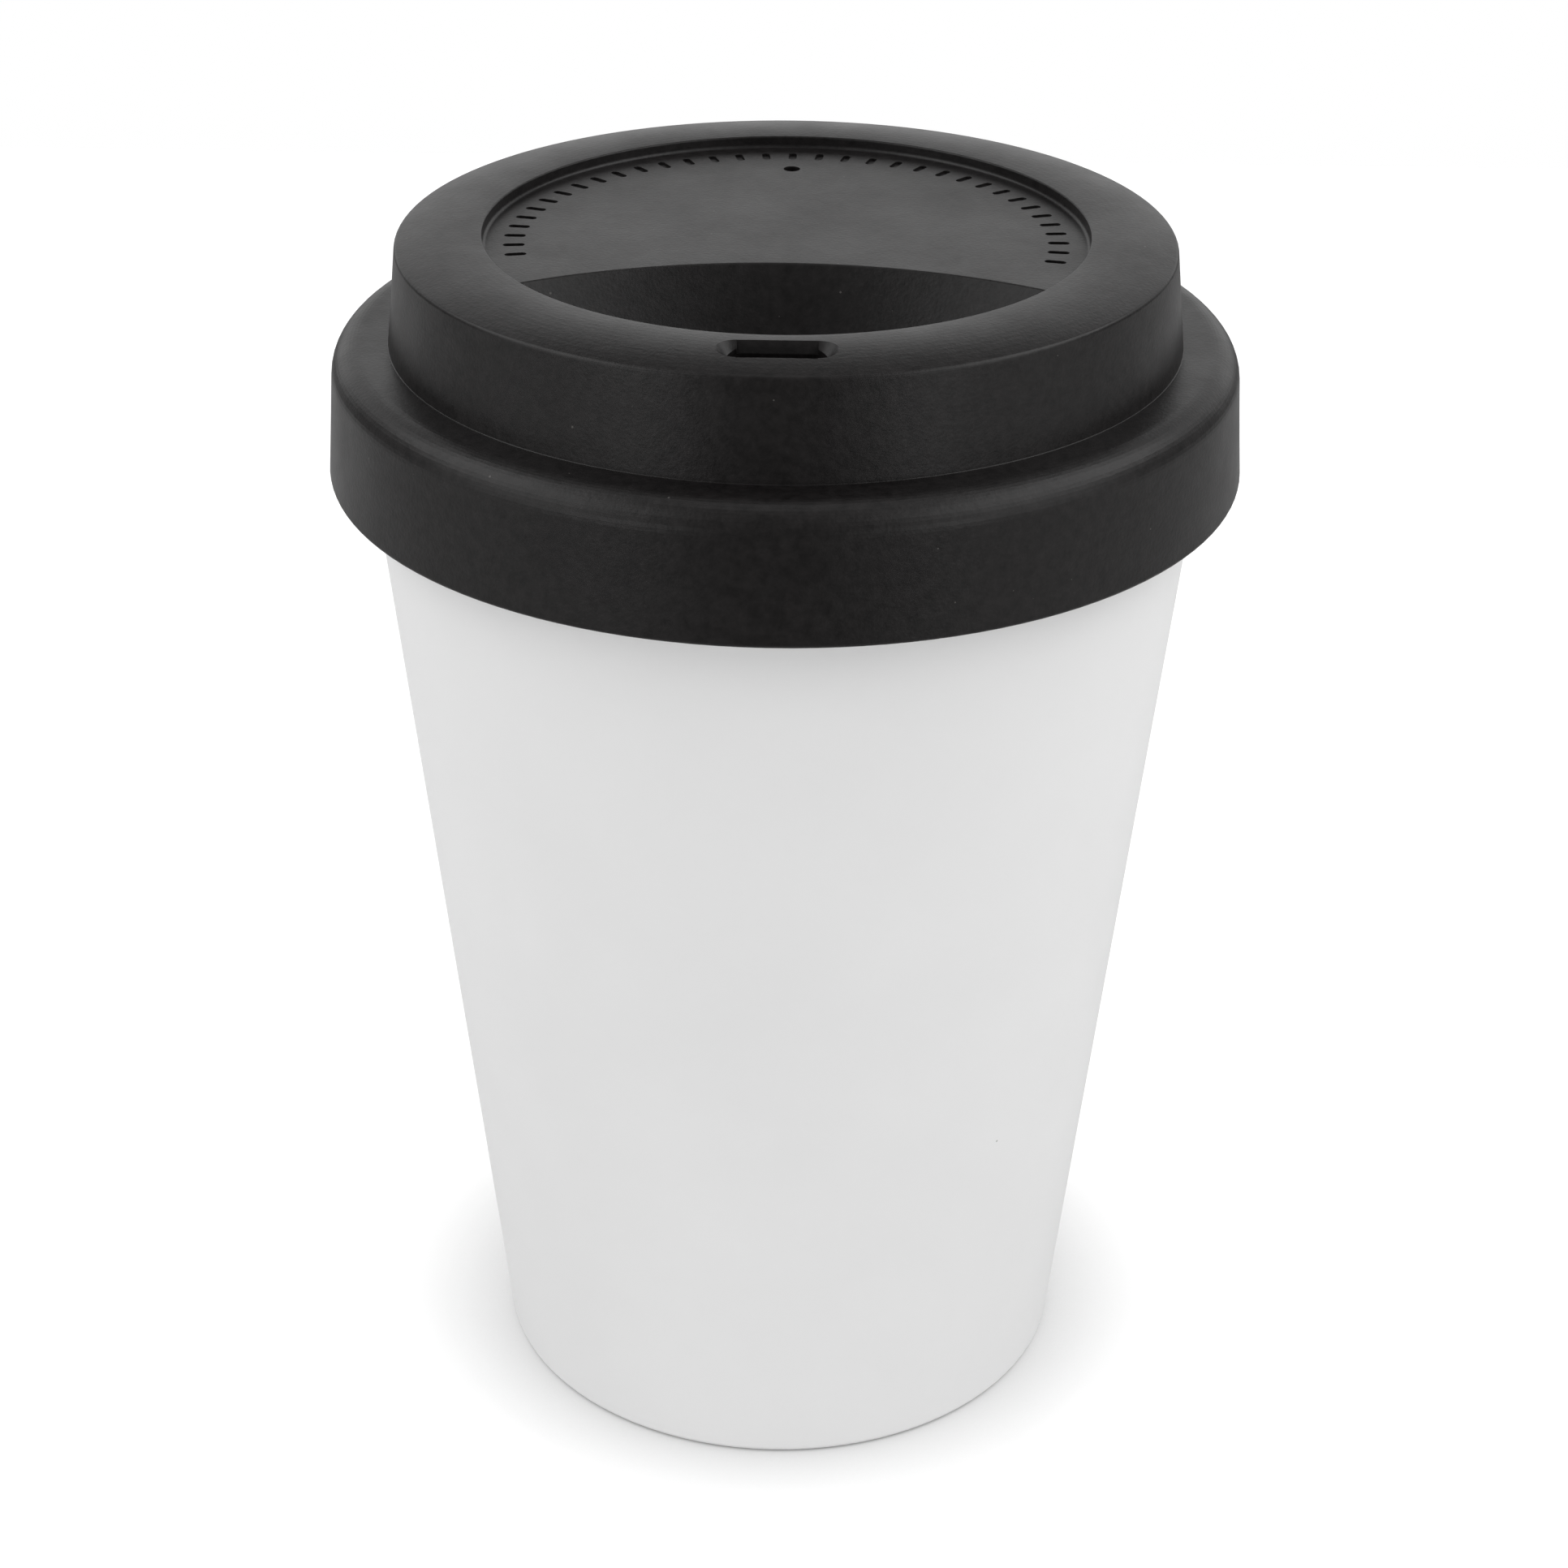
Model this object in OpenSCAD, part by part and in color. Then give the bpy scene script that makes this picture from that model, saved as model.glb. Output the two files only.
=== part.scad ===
// Reusable take-away coffee cup: a tapered moulded cup with a push-on soft lid.
// Origin on the table at the cup's axis, +Z up, sip slot toward -Y.

/* [Cup] */
// Height of the cup from the table to its drinking rim
cup_h = 112.5; // [90:0.5:150]
// Diameter across the foot of the cup
cup_base_d = 60.7; // [56:0.1:66]
// Diameter across the drinking rim
cup_rim_d = 84.1; // [82:0.1:84.6]
// Thickness of the cup's side wall
cup_wall = 1.8; // [1.2:0.1:2.4]
// Thickness of the cup's floor
cup_floor = 2.2; // [1.5:0.1:5]
// Radius inside the cup where the wall meets the floor
cup_inner_fillet = 4; // [1:0.5:8]
// Rounding along both edges of the drinking rim
cup_rim_round = 0.6; // [0.2:0.1:0.8]
// Rounding of the outer edge of the foot
foot_round = 0.8; // [0.3:0.1:1.4]
// Depth of the hollow under the foot
foot_hollow = 1.2; // [0.5:0.1:2]
// Width of the ring that the cup stands on
foot_ring_w = 3.4; // [2.5:0.1:6]

/* [Lid skirt] */
// Thickness of the skirt at its bottom edge
skirt_t = 2.25; // [1.8:0.05:3.5]
// Height of the skirt from its bottom edge to the step round the ring
skirt_h = 12.9; // [9:0.05:18]
// Lean of the skirt's outside from the vertical, in degrees
skirt_lean = 4.1; // [2:0.1:5]
// Lean of the skirt's inside from the vertical, in degrees
skirt_inner_lean = 1.9; // [0.5:0.1:3]
// Rounding of the skirt's top edge
skirt_round = 2.9; // [1:0.1:3.2]
// Rounding of the skirt's bottom edges
skirt_lip_round = 0.4; // [0.1:0.05:0.6]
// Thickness of the step that lies on the cup's rim
step_t = 2.2; // [1.5:0.1:3]
// Room between the lid and the cup beside the rim
fit_gap = 0.35; // [0.2:0.05:0.6]

/* [Lid ring] */
// Width of the step, from the skirt's top corner in to the foot of the ring
step_w = 5.4; // [4.8:0.05:7]
// Height of the ring above the step
ring_h = 10.55; // [7:0.05:16]
// Lean of the ring's outside from the vertical, in degrees
ring_lean = 6; // [1:0.1:9]
// Radius of the domed top of the ring
crown_radius = 21; // [14:0.5:40]
// Distance from the edge of the sunk top out to the circle along which the dome is highest
crown_out = 2.2; // [0.5:0.1:4]
// Rounding of the edge between the dome and the outside of the ring
crease_round = 0.45; // [0.2:0.05:0.8]
// Fillet between the ring and the step
ring_fillet = 0.1; // [0.1:0.1:1.5]
// Thickness of the ring's walls
ring_wall = 2.1; // [1.6:0.1:2.4]

/* [Lid top] */
// Width of the ring at its foot, from its outside in to the edge of the sunk top
ring_w = 9.4; // [8.8:0.05:12]
// Depth of the sunk top below the highest point of the ring
mouth_depth = 1.3; // [0.8:0.05:2]
// Fillet round the edge of the sunk top
mouth_fillet = 0.35; // [0.1:0.05:0.6]
// Thickness of the sunk top
top_t = 2.1; // [1.5:0.1:3]

/* [Lip pocket] */
// Depth of the pocket for the upper lip below the sunk top
pocket_depth = 8.8; // [5:0.1:9.5]
// Radius of the pocket's curved back edge, in plan
pocket_edge_radius = 48.8; // [40:0.1:70]
// Distance of that edge from the axis, on the centre line
pocket_edge_y = 6.9; // [3:0.1:10]
// Lean of the pocket's front wall from the vertical, in degrees
pocket_lean = 3; // [1:0.5:6]
// Lean of the slope under the curved back edge from the vertical, in degrees
pocket_back_lean = 30; // [5:1:40]
// Fillet round the pocket's floor
pocket_fillet = 1.6; // [0.5:0.1:3]
// Rounding of the curved back edge
pocket_edge_round = 0.3; // [0.1:0.05:1]
// Thickness of the pocket's walls and floor
pocket_wall = 1.8; // [1.2:0.1:2.2]

/* [Sip slot and vent] */
// Length of the sip slot at the surface
slot_l = 11; // [8:0.1:16]
// Width of the sip slot at the surface
slot_w = 3.8; // [2.8:0.1:4]
// Distance of the slot's middle from the edge of the sunk top
slot_out = 3.6; // [3:0.05:4]
// Width lost on each side between the surface and the straight part of the slot
slot_flare = 0.45; // [0.1:0.05:0.5]
// Length lost at each end between the surface and the straight part of the slot
slot_end_flare = 0.95; // [0.4:0.05:1.5]
// Depth of that flare
slot_flare_depth = 1.1; // [0.5:0.1:1.4]
// Diameter of the vent hole
vent_d = 1.7; // [1:0.1:3]
// Distance of the vent hole in from the edge of the sunk top
vent_in = 7.2; // [5:0.1:20]

/* [Marks] */
// Number of short sunk marks round the back of the sunk top
mark_count = 35; // [5:1:45]
// Angle between one mark and the next, seen from the axis
mark_step = 6; // [5:0.5:8]
// Length of a mark, toward the axis
mark_l = 2.1; // [1:0.1:3]
// Width of a mark
mark_w = 0.8; // [0.5:0.1:1.2]
// Depth of a mark
mark_depth = 0.25; // [0.1:0.05:0.6]
// Distance from the edge of the sunk top in to the middle of a mark
mark_in = 3.05; // [2:0.05:4]

/* [Lid plug] */
// Depth of the sealing plug below the cup's rim
plug_depth = 6; // [3:0.5:12]
// Thickness of the plug
plug_wall = 2.2; // [1.5:0.1:2.6]
// Rounding of the plug's bottom edges
plug_round = 0.7; // [0.3:0.1:0.7]

/* [Hidden] */

$fn = 128;
arc_step = 7.5;   // degrees between the points of a rounded corner
dome_step = 2;    // degrees between the points of the ring's dome
mark_sides = 24;  // sides of a mark's round ends
over = 2;         // how far a cutting shape runs past what it cuts
shell_cover = 0.35;  // how far the pocket's walls end below the sunk top

cup_base_r = cup_base_d / 2;
cup_rim_r = cup_rim_d / 2;
cup_slope = (cup_rim_r - cup_base_r) / cup_h;
cup_wall_across = cup_wall * sqrt(1 + pow(cup_slope, 2));
cup_floor_z = foot_hollow + cup_floor;
foot_ring_round = foot_hollow * 0.4;

seat_z = cup_h;
step_z = seat_z + step_t;
skirt_z = step_z - skirt_h;
skirt_inner_r = cup_rim_r + fit_gap;
skirt_inner_bottom_r = skirt_inner_r + (seat_z - skirt_z) * tan(skirt_inner_lean);
lid_r = skirt_inner_bottom_r + skirt_t;
skirt_top_r = lid_r - skirt_h * tan(skirt_lean);

ring_r = skirt_top_r - step_w;
ring_top_z = step_z + ring_h;
mouth_r = ring_r - ring_w;
crown_r = mouth_r + crown_out;
crown_z = ring_top_z - crown_radius;
mouth_z = ring_top_z - mouth_depth;
top_under_z = mouth_z - top_t;
crown_under_z = ring_top_z - ring_wall;

pocket_z = mouth_z - pocket_depth;
pocket_centre_y = pocket_edge_y + pocket_edge_radius;
pocket_shell_top = mouth_z - shell_cover;

plug_z = seat_z - plug_depth;

// Radius of the cup's outside and inside at a height
function cup_outer_r(z) = cup_base_r + cup_slope * z;
function cup_inner_r(z) = cup_outer_r(z) - cup_wall_across;
// Radius of the ring's outside at a height
function ring_outer_r(z) = ring_r - (z - step_z) * tan(ring_lean);
// Height of the dome at a distance from the axis
function dome_z(r) = crown_z + sqrt(pow(crown_radius, 2) - pow(r - crown_r, 2));
// The crease lies where the leaning outside of the ring meets the dome
function crease_from(z, rounds) = rounds == 0 ? z : crease_from(dome_z(ring_outer_r(z)), rounds - 1);
crease_z = crease_from(ring_top_z, 12);
crease_r = ring_outer_r(crease_z);

function unit(v) = v / norm(v);
function plan(p) = [p[0], p[1]];
function turned(v, a) = [v[0] * cos(a) - v[1] * sin(a), v[0] * sin(a) + v[1] * cos(a)];

// One corner [x, y, radius] between its neighbours, as the points of its arc
function corner_arc(before, here, after, radius) =
    let (
        back = unit(before - here),
        on = unit(after - here),
        half = acos(back * on) / 2,
        centre = here + unit(back + on) * radius / sin(half),
        start = here + back * radius / tan(half) - centre,
        turn = (180 - 2 * half) * (cross(back, on) > 0 ? -1 : 1),
        steps = max(1, ceil(abs(turn) / arc_step))
    )
    [for (k = [0 : steps]) centre + turned(start, turn * k / steps)];

// A closed outline from corners [x, y, radius]; a radius of 0 keeps the corner sharp
function rounded(corners) =
    let (n = len(corners))
    [for (i = [0 : n - 1])
        let (here = plan(corners[i]), radius = corners[i][2])
        each radius == 0
            ? [here]
            : corner_arc(plan(corners[(i + n - 1) % n]), here, plan(corners[(i + 1) % n]), radius)];

// The wall of the cup in section, from the middle of the foot round the rim to the middle of the floor
module cup_section() {
    polygon(rounded([
        [0, foot_hollow, 0],
        [cup_base_r - foot_ring_w, foot_hollow, foot_ring_round],
        [cup_base_r - foot_ring_w, 0, foot_ring_round],
        [cup_base_r, 0, foot_round],
        [cup_rim_r, cup_h, cup_rim_round],
        [cup_inner_r(cup_h), cup_h, cup_rim_round],
        [cup_inner_r(cup_floor_z), cup_floor_z, cup_inner_fillet],
        [0, cup_floor_z, 0],
    ]));
}

module cup() {
    color("#e4e4e2") rotate_extrude() cup_section();
}

// Outside of the lid in section: skirt, step, ring, dome and sunk top
module lid_outside_section() {
    crown_from = asin((mouth_r - crown_r) / crown_radius);
    crown_to = asin((crease_r - crown_r) / crown_radius);
    dome_steps = ceil((crown_to - crown_from) / dome_step);
    dome = [
        for (k = [1 : dome_steps - 1])
            let (a = crown_to + (crown_from - crown_to) * k / dome_steps)
            [crown_r + crown_radius * sin(a), crown_z + crown_radius * cos(a), 0]
    ];
    polygon(rounded(concat(
        [
            [0, skirt_z, 0],
            [lid_r, skirt_z, skirt_lip_round],
            [skirt_top_r, step_z, skirt_round],
            [ring_r, step_z, ring_fillet],
            [crease_r, crease_z, crease_round],
        ],
        dome,
        [
            [mouth_r, dome_z(mouth_r), mouth_fillet / 2],
            [mouth_r, mouth_z, mouth_fillet],
            [0, mouth_z, 0],
        ]
    )));
}

// Hollow under the lid in section: round the cup's rim, inside the plug and up under the ring
module lid_hollow_section() {
    plug_outer_r = cup_inner_r(seat_z) - fit_gap;
    plug_outer_bottom_r = cup_inner_r(plug_z) - fit_gap;
    plug_inner_r = plug_outer_bottom_r - plug_wall;
    ring_inner_r = ring_outer_r(step_z) - ring_wall;
    ring_inner_top_r = ring_outer_r(crown_under_z) - ring_wall;
    channel_inner_r = mouth_r + ring_wall;
    polygon(rounded([
        [0, skirt_z - over, 0],
        [skirt_inner_bottom_r + over * tan(skirt_inner_lean), skirt_z - over, 0],
        [skirt_inner_r, seat_z, skirt_lip_round],
        [plug_outer_r, seat_z, skirt_lip_round],
        [plug_outer_bottom_r, plug_z, plug_round],
        [plug_inner_r, plug_z, plug_round],
        [plug_inner_r, seat_z, skirt_lip_round],
        [ring_inner_r, step_z, skirt_lip_round],
        [ring_inner_top_r, crown_under_z, ring_fillet],
        [channel_inner_r, crown_under_z, skirt_lip_round],
        [channel_inner_r - (crown_under_z - top_under_z), top_under_z, skirt_lip_round],
        [0, top_under_z, 0],
    ]));
}

// A bowl with leaning walls and a filleted floor, going straight up by rise past its brim
module bowl(top_r, lean, floor_z, top_z, fillet, rise = 0) {
    floor_r = top_r - (top_z - floor_z) * tan(lean);
    rotate_extrude() polygon(rounded([
        [0, floor_z, 0],
        [floor_r, floor_z, fillet],
        [top_r, top_z, 0],
        if (rise > 0) [top_r, top_z + rise, 0],
        [0, top_z + rise, 0],
    ]));
}

// A bowl whose brim is rounded over into the flat round it, and then goes straight up
module rounded_brim_bowl(top_r, lean, floor_z, top_z, fillet, brim_round) {
    wall = rounded([
        [0, floor_z, 0],
        [top_r - (top_z - floor_z) * tan(lean), floor_z, fillet],
        [top_r, top_z, brim_round],
        [top_r + over, top_z, 0],
    ]);
    last = len(wall) - 2;
    cut_top = top_z + over;
    rotate_extrude() polygon(concat(
        [for (k = [0 : last]) wall[k]],
        [[wall[last][0], cut_top], [0, cut_top]]
    ));
}

// Space of the pocket: the lens between the ring's inside and the curved back edge
module pocket_space() {
    intersection() {
        bowl(mouth_r, pocket_lean, pocket_z, mouth_z, pocket_fillet, over);
        translate([0, -pocket_centre_y, 0])
            rounded_brim_bowl(pocket_edge_radius, pocket_back_lean, pocket_z, mouth_z, pocket_fillet,
                pocket_edge_round);
    }
}

// Walls and floor that carry the pocket below the sunk top
module pocket_shell() {
    intersection() {
        bowl(mouth_r + pocket_wall, pocket_lean, pocket_z - pocket_wall, pocket_shell_top,
            pocket_fillet + pocket_wall);
        translate([0, -pocket_centre_y, 0])
            bowl(pocket_edge_radius + pocket_wall, pocket_back_lean, pocket_z - pocket_wall,
                pocket_shell_top, pocket_fillet + pocket_wall);
    }
}

// A round-ended slot, straight through, with its top flared at the sides and ends
module sip_slot() {
    through_w = slot_w - 2 * slot_flare;
    through_l = slot_l - 2 * slot_end_flare;
    end_x = (slot_l - slot_w) / 2;
    flare_z = ring_top_z - slot_flare_depth;
    flare_h = slot_flare_depth + over;
    end_r = slot_w / 2 + slot_end_flare * over / slot_flare_depth;
    side_y = slot_w / 2 + slot_flare * over / slot_flare_depth;
    translate([0, -mouth_r - slot_out, 0]) {
        translate([0, 0, crown_under_z - over]) linear_extrude(height = ring_wall + 2 * over) {
            square([through_l - through_w, through_w], center = true);
            for (side = [-1, 1])
                translate([side * (through_l - through_w) / 2, 0]) circle(d = through_w);
        }
        for (side = [-1, 1])
            translate([side * end_x, 0, flare_z])
                cylinder(r1 = slot_w / 2 - slot_end_flare, r2 = end_r, h = flare_h);
        rotate([90, 0, 90]) translate([0, 0, -end_x]) linear_extrude(height = 2 * end_x)
            polygon([
                [-through_w / 2, flare_z],
                [through_w / 2, flare_z],
                [side_y, flare_z + flare_h],
                [-side_y, flare_z + flare_h],
            ]);
    }
}

module vent() {
    translate([0, mouth_r - vent_in, top_under_z - over]) cylinder(d = vent_d, h = top_t + 2 * over);
}

// Short round-ended marks sunk in the top, centred on the back
module marks() {
    translate([0, 0, mouth_z - mark_depth]) linear_extrude(height = mark_depth + over)
        for (k = [0 : mark_count - 1])
            rotate(mark_step * (k - (mark_count - 1) / 2)) translate([0, mouth_r - mark_in]) {
                square([mark_w, mark_l - mark_w], center = true);
                for (end = [-1, 1])
                    translate([0, end * (mark_l - mark_w) / 2]) circle(d = mark_w, $fn = mark_sides);
            }
}

module lid() {
    color("#2e2e2f") difference() {
        union() {
            difference() {
                rotate_extrude() lid_outside_section();
                rotate_extrude() lid_hollow_section();
            }
            pocket_shell();
        }
        pocket_space();
        sip_slot();
        vent();
        marks();
    }
}

cup();
lid();
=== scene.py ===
import math
import bpy
from mathutils import Matrix, Vector

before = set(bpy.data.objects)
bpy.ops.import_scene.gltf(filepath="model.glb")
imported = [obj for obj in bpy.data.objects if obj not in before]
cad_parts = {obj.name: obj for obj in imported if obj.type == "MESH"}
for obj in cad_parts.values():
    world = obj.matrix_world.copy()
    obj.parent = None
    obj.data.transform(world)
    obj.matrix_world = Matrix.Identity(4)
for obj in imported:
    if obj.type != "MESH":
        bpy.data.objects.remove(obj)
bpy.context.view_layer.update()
mm = 0.001
scene = bpy.context.scene
print("frame loaded:", ", ".join(sorted(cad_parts)))


# sRGB hex to the linear colour that a shader takes
def linearColour(hexText):
    parts = [int(hexText[k:k + 2], 16) / 255 for k in (1, 3, 5)]
    linear = [c / 12.92 if c <= 0.04045 else ((c + 0.055) / 1.055) ** 2.4 for c in parts]
    return (*linear, 1.0)


# Adds a node; an input given as a socket is linked, anything else is its value
def addNode(tree, kind, settings=None, inputs=None):
    node = tree.nodes.new(kind)
    for name, value in (settings or {}).items():
        setattr(node, name, value)
    for name, value in (inputs or {}).items():
        if isinstance(value, bpy.types.NodeSocket):
            tree.links.new(value, node.inputs[name])
        else:
            node.inputs[name].default_value = value
    return node


def newMaterial(name):
    material = bpy.data.materials.new(name)
    material.use_nodes = True
    material.node_tree.nodes.clear()
    return material, material.node_tree


# A pattern whose features are this many millimetres across
def scaleFor(sizeMm):
    return 1 / (sizeMm * mm)


# Turns a pattern from 0 to 1 into a value that strays this far to either side
def spreadRound(tree, pattern, middle, spread):
    reach = {"Value": pattern, "To Min": middle - spread, "To Max": middle + spread}
    return addNode(tree, "ShaderNodeMapRange", None, reach).outputs["Result"]


# Silicone rubber, compression moulded in a fine-blasted tool
# A black body under a matt skin: dark face on, grey where the light grazes it, with a little dust
# The blasted grain is drawn a little coarser than it is, so that it shows
silicone = {
    "body": "#040303",
    "bodyWorn": "#1E1C1C",
    "dust": "#474543",
    "ior": 1.41,
    "specular": 0.37,
    "roughness": 0.4,
    "roughnessSpread": 0.10,
    "cloudMm": 9,
    "cloudOctaves": 6,
    "cloudHarshness": 0.75,
    "mottleMm": 1.0,
    "mottleOctaves": 4,
    "mottleHarshness": 0.7,
    "mottleContrast": 1.7,
    "grainMm": 0.35,
    "grainOctaves": 2,
    "grainHeightMm": 0.021,
    "dustCellMm": 1.8,
    "dustGrainMm": 0.12,
}


def siliconeMoulded(s):
    material, tree = newMaterial("silicone_rubber_moulded")
    place = addNode(tree, "ShaderNodeTexCoord").outputs["Object"]
    cloud = addNode(tree, "ShaderNodeTexNoise", None,
                    {"Vector": place, "Scale": scaleFor(s["cloudMm"]), "Detail": s["cloudOctaves"],
                     "Roughness": s["cloudHarshness"]}).outputs["Fac"]
    mottle = addNode(tree, "ShaderNodeTexNoise", None,
                     {"Vector": place, "Scale": scaleFor(s["mottleMm"]), "Detail": s["mottleOctaves"],
                      "Roughness": s["mottleHarshness"]}).outputs["Fac"]
    grain = addNode(tree, "ShaderNodeTexNoise", None,
                    {"Vector": place, "Scale": scaleFor(s["grainMm"]),
                     "Detail": s["grainOctaves"]}).outputs["Fac"]
    blotch = spreadRound(tree, mottle, 0.5, s["mottleContrast"] / 2)
    body = addNode(tree, "ShaderNodeMix", {"data_type": "RGBA"},
                   {"Factor": blotch, "A": linearColour(s["body"]),
                    "B": linearColour(s["bodyWorn"])})
    # half of the cells hold a fleck, most of them smaller than the full grain
    cell = addNode(tree, "ShaderNodeTexVoronoi", None,
                   {"Vector": place, "Scale": scaleFor(s["dustCellMm"])})
    chance = addNode(tree, "ShaderNodeSeparateColor", None,
                     {"Color": cell.outputs["Color"]}).outputs["Red"]
    largest = s["dustGrainMm"] / s["dustCellMm"]
    reach = addNode(tree, "ShaderNodeMath", {"operation": "MULTIPLY_ADD"},
                    {0: chance, 1: 2 * largest, 2: -largest}).outputs[0]
    fleck = addNode(tree, "ShaderNodeMath", {"operation": "LESS_THAN"},
                    {0: cell.outputs["Distance"], 1: reach}).outputs[0]
    colour = addNode(tree, "ShaderNodeMix", {"data_type": "RGBA"},
                     {"Factor": fleck, "A": body.outputs["Result"], "B": linearColour(s["dust"])})
    rough = spreadRound(tree, cloud, s["roughness"], s["roughnessSpread"])
    bump = addNode(tree, "ShaderNodeBump", None,
                   {"Height": grain, "Strength": 1.0,
                    "Distance": s["grainHeightMm"] * mm}).outputs["Normal"]
    shader = addNode(tree, "ShaderNodeBsdfPrincipled", None,
                     {"Base Color": colour.outputs["Result"], "Roughness": rough, "IOR": s["ior"],
                      "Specular IOR Level": s["specular"], "Normal": bump})
    addNode(tree, "ShaderNodeOutputMaterial", None, {"Surface": shader.outputs["BSDF"]})
    return material


# Polypropylene, injection moulded in a lightly textured tool
# An even milk-white wall with a soft satin skin and hardly any reflection
polypropylene = {
    "body": "#F1F1F1",
    "bodyCool": "#ECECEC",
    "speck": "#BCBCBA",
    "ior": 1.49,
    "specular": 0.35,
    "roughness": 0.48,
    "roughnessSpread": 0.05,
    "peelMm": 1.4,
    "peelHeightMm": 0.004,
    "cloudMm": 14,
    "octaves": 3,
    "speckCellMm": 21,
    "speckGrainMm": 0.13,
}


def polypropyleneMoulded(s):
    material, tree = newMaterial("polypropylene_moulded_satin")
    place = addNode(tree, "ShaderNodeTexCoord").outputs["Object"]
    cloud = addNode(tree, "ShaderNodeTexNoise", None,
                    {"Vector": place, "Scale": scaleFor(s["cloudMm"]),
                     "Detail": s["octaves"]}).outputs["Fac"]
    peel = addNode(tree, "ShaderNodeTexNoise", None,
                   {"Vector": place, "Scale": scaleFor(s["peelMm"]),
                    "Detail": s["octaves"]}).outputs["Fac"]
    body = addNode(tree, "ShaderNodeMix", {"data_type": "RGBA"},
                   {"Factor": cloud, "A": linearColour(s["body"]),
                    "B": linearColour(s["bodyCool"])})
    cell = addNode(tree, "ShaderNodeTexVoronoi", None,
                   {"Vector": place, "Scale": scaleFor(s["speckCellMm"])})
    speckReach = s["speckGrainMm"] / s["speckCellMm"]
    speck = addNode(tree, "ShaderNodeMath", {"operation": "LESS_THAN"},
                    {0: cell.outputs["Distance"], 1: speckReach}).outputs[0]
    colour = addNode(tree, "ShaderNodeMix", {"data_type": "RGBA"},
                     {"Factor": speck, "A": body.outputs["Result"], "B": linearColour(s["speck"])})
    rough = spreadRound(tree, peel, s["roughness"], s["roughnessSpread"])
    bump = addNode(tree, "ShaderNodeBump", None,
                   {"Height": peel, "Strength": 1.0,
                    "Distance": s["peelHeightMm"] * mm}).outputs["Normal"]
    shader = addNode(tree, "ShaderNodeBsdfPrincipled", None,
                     {"Base Color": colour.outputs["Result"], "Roughness": rough, "IOR": s["ior"],
                      "Specular IOR Level": s["specular"], "Normal": bump})
    addNode(tree, "ShaderNodeOutputMaterial", None, {"Surface": shader.outputs["BSDF"]})
    return material


def dress(nodeName, material):
    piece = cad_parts[nodeName]
    piece.data.materials.clear()
    piece.data.materials.append(material)


dress("cup", polypropyleneMoulded(polypropylene))
dress("lid", siliconeMoulded(silicone))
print("materials set")


# 1 for the first ray or the second, 0 for soft light
def eitherRay(tree, first, second):
    path = addNode(tree, "ShaderNodeLightPath").outputs
    return addNode(tree, "ShaderNodeMath", {"operation": "MAXIMUM"},
                   {0: path[first], 1: path[second]}).outputs[0]


# A matt pale board that keeps its shadow, lifted to white for whatever looks at it
def paleBoard(name, look):
    material, tree = newMaterial(name)
    matt = addNode(tree, "ShaderNodeBsdfDiffuse", None, {"Color": linearColour(look["colour"])})
    # the lift fades where something stands close by, so that the foot keeps its contact shadow
    unblocked = addNode(tree, "ShaderNodeAmbientOcclusion", {"samples": contactRays},
                        {"Distance": look["contact"]}).outputs["AO"]
    seen = eitherRay(tree, "Is Camera Ray", "Is Transmission Ray")
    bright = addNode(tree, "ShaderNodeMath", {"operation": "MULTIPLY"},
                     {0: seen, 1: look["seen"]}).outputs[0]
    lift = addNode(tree, "ShaderNodeMath", {"operation": "MULTIPLY"},
                   {0: bright, 1: unblocked}).outputs[0]
    mirrored = addNode(tree, "ShaderNodeLightPath").outputs["Is Glossy Ray"]
    strength = addNode(tree, "ShaderNodeMath", {"operation": "MULTIPLY_ADD"},
                       {0: mirrored, 1: look["mirrored"], 2: lift}).outputs[0]
    glow = addNode(tree, "ShaderNodeEmission", None, {"Strength": strength})
    both = addNode(tree, "ShaderNodeAddShader", None,
                   {0: matt.outputs["BSDF"], 1: glow.outputs["Emission"]})
    addNode(tree, "ShaderNodeOutputMaterial", None, {"Surface": both.outputs["Shader"]})
    return material


# Floor and backdrop: lengths in metres, contact is how far the foot's contact shadow reaches
# Camera rays get the seen light on top, glossy rays the mirrored light
contactRays = 12
floorLook = {"colour": "#AEAEAE", "seen": 0.725, "mirrored": 0.17, "contact": 0.016,
             "side": 1.4, "front": 0.22, "back": 0.42}
backdropLook = {"colour": "#B9B9B9", "seen": 0.90, "mirrored": 1.0, "contact": 0.016,
                "side": 3.0, "back": 1.4, "height": 1.2}


def stageBoard(name, corners, material):
    mesh = bpy.data.meshes.new(name)
    mesh.from_pydata(corners, [], [(0, 1, 2, 3)])
    mesh.materials.append(material)
    board = bpy.data.objects.new(name, mesh)
    scene.collection.objects.link(board)


half, front, rear = floorLook["side"] / 2, -floorLook["front"], floorLook["back"]
stageBoard("floor", [(-half, front, 0), (half, front, 0), (half, rear, 0), (-half, rear, 0)],
           paleBoard("painted_board_floor", floorLook))
half, behind, top = backdropLook["side"] / 2, backdropLook["back"], backdropLook["height"]
stageBoard("backdrop",
           [(-half, behind, 0), (half, behind, 0), (half, behind, top), (-half, behind, top)],
           paleBoard("painted_board_backdrop", backdropLook))

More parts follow.
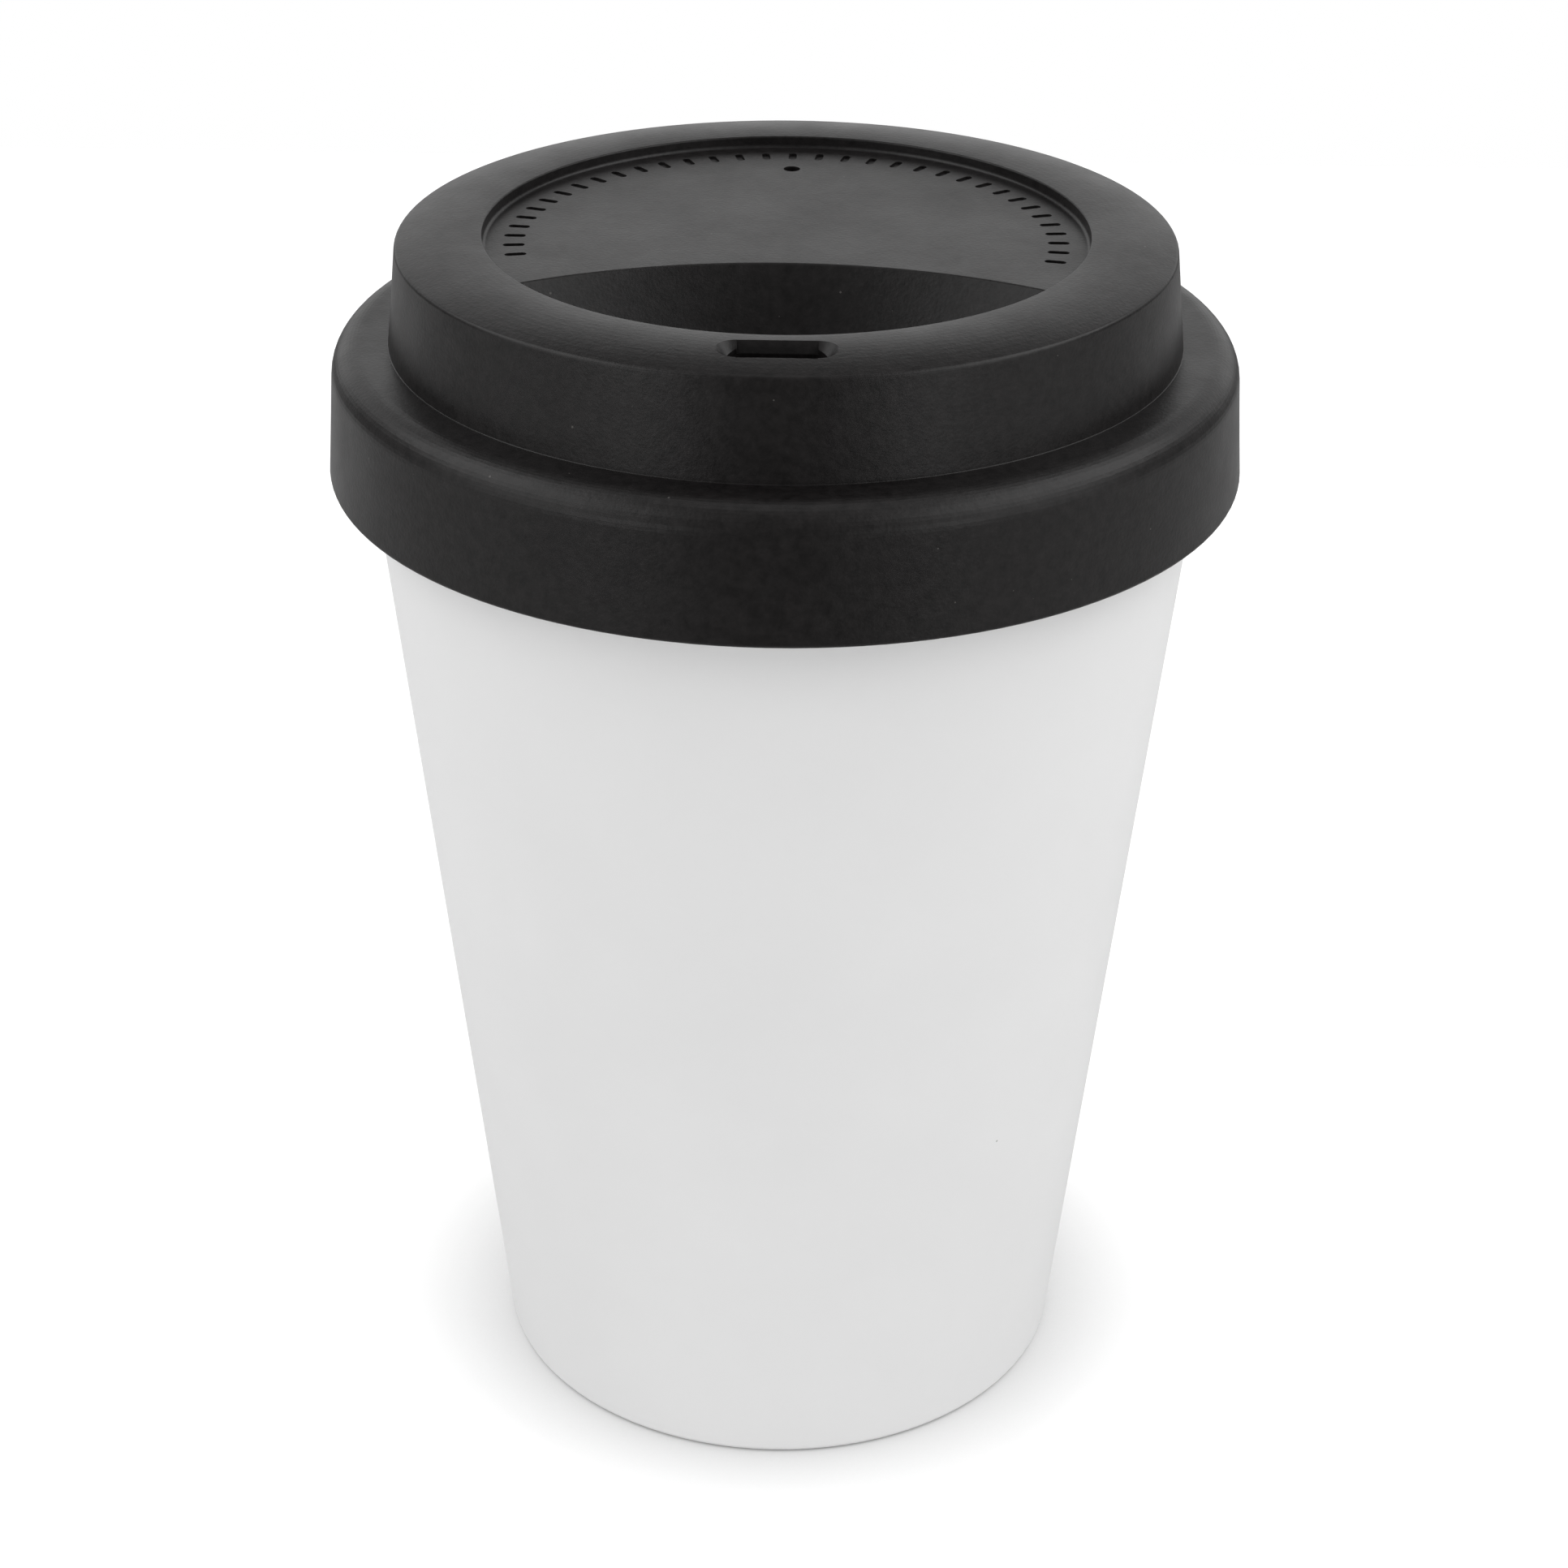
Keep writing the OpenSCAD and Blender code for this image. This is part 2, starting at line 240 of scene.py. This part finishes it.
# Soft even room light; white where it is looked at
room = {"soft": 0.13, "seen": 1.0}
world = bpy.data.worlds.new("room")
world.use_nodes = True
world.node_tree.nodes.clear()
looked = eitherRay(world.node_tree, "Is Camera Ray", "Is Transmission Ray")
strength = addNode(world.node_tree, "ShaderNodeMapRange", None,
                   {"Value": looked, "To Min": room["soft"], "To Max": room["seen"]})
roomLight = addNode(world.node_tree, "ShaderNodeBackground", None,
                    {"Color": linearColour("#FFFFFF"), "Strength": strength.outputs["Result"]})
addNode(world.node_tree, "ShaderNodeOutputWorld", None, {"Surface": roomLight.outputs["Background"]})
scene.world = world

# Soft boxes aimed at the lid: size and place in metres, power in watts
# The last four light without a reflection, so that the dark lid keeps its dark front
softBoxes = {
    "left_floor": {"size": (0.3, 0.2), "at": (-0.45, -0.6, 0.12), "power": 0.66, "mirrored": True},
    "right_floor": {"size": (0.3, 0.2), "at": (0.45, -0.6, 0.12), "power": 0.62, "mirrored": True},
    "left_low": {"size": (0.5, 0.5), "at": (-0.62, -0.28, 0.27), "power": 0.95, "mirrored": True},
    "right_low": {"size": (0.5, 0.5), "at": (0.62, -0.28, 0.27), "power": 0.97, "mirrored": True},
    "left_front": {"size": (0.5, 0.5), "at": (-0.6, -0.45, 0.75), "power": 1.67, "mirrored": True},
    "right_front": {"size": (0.5, 0.5), "at": (0.6, -0.45, 0.75), "power": 1.81, "mirrored": True},
    "left_high": {"size": (0.6, 0.6), "at": (-0.6, 0.1, 0.7), "power": 2.7, "mirrored": True},
    "right_high": {"size": (0.6, 0.6), "at": (0.6, 0.1, 0.7), "power": 3.3, "mirrored": True},
    "overhead": {"size": (0.5, 0.5), "at": (0.0, 0.15, 1.1), "power": 0.8, "mirrored": True},
    "front_fill": {"size": (0.8, 0.3), "at": (0.0, -0.9, 0.2), "power": 1.5, "mirrored": False},
    "left_back": {"size": (0.5, 0.3), "at": (-0.6, 0.65, 0.2), "power": 1.1, "mirrored": False},
    "right_back": {"size": (0.5, 0.3), "at": (0.6, 0.65, 0.2), "power": 0.7, "mirrored": False},
    "back_fill": {"size": (0.8, 0.3), "at": (-0.35, 0.85, 0.2), "power": 1.4, "mirrored": False},
}
aim = Vector((0, 0, 0.09))
for name, box in softBoxes.items():
    lamp = bpy.data.lights.new(name, "AREA")
    lamp.shape = "RECTANGLE"
    lamp.size, lamp.size_y = box["size"]
    lamp.energy = box["power"]
    lampObject = bpy.data.objects.new(name, lamp)
    lampObject.location = box["at"]
    lampObject.rotation_euler = (aim - Vector(box["at"])).to_track_quat("-Z", "Y").to_euler()
    lampObject.visible_camera = False
    lampObject.visible_glossy = box["mirrored"]
    scene.collection.objects.link(lampObject)
print("floor, backdrop, room and soft boxes set")

# The photograph's camera, in metres and degrees, lens and sensor in millimetres
# It looks down at the lid, a little to the right of the slot
view = {"away": 0.30257, "height": 0.22700, "swing": 1.3, "down": 28.269, "yaw": 0.025, "roll": -0.403,
        "lens": 75.05, "sensor": 36.0, "nearest": 0.01, "farthest": 20}
swing, down, yaw, roll = (math.radians(view[key]) for key in ("swing", "down", "yaw", "roll"))
heading = yaw - swing
ahead = Vector((math.sin(heading) * math.cos(down),
                math.cos(heading) * math.cos(down),
                -math.sin(down)))
right = ahead.cross(Vector((0, 0, 1))).normalized()
below = ahead.cross(right)
right, below = (math.cos(roll) * right + math.sin(roll) * below,
                math.cos(roll) * below - math.sin(roll) * right)
eye = Vector((view["away"] * math.sin(swing), -view["away"] * math.cos(swing), view["height"]))
cameraData = bpy.data.cameras.new("camera")
cameraData.sensor_width = view["sensor"]
cameraData.lens = view["lens"]
cameraData.clip_start, cameraData.clip_end = view["nearest"], view["farthest"]
camera = bpy.data.objects.new("camera", cameraData)
turn = Matrix((right, -below, -ahead)).transposed()
camera.matrix_world = Matrix.Translation(eye) @ turn.to_4x4()
scene.collection.objects.link(camera)
scene.camera = camera
scene.view_settings.view_transform = "Standard"
print("camera set")
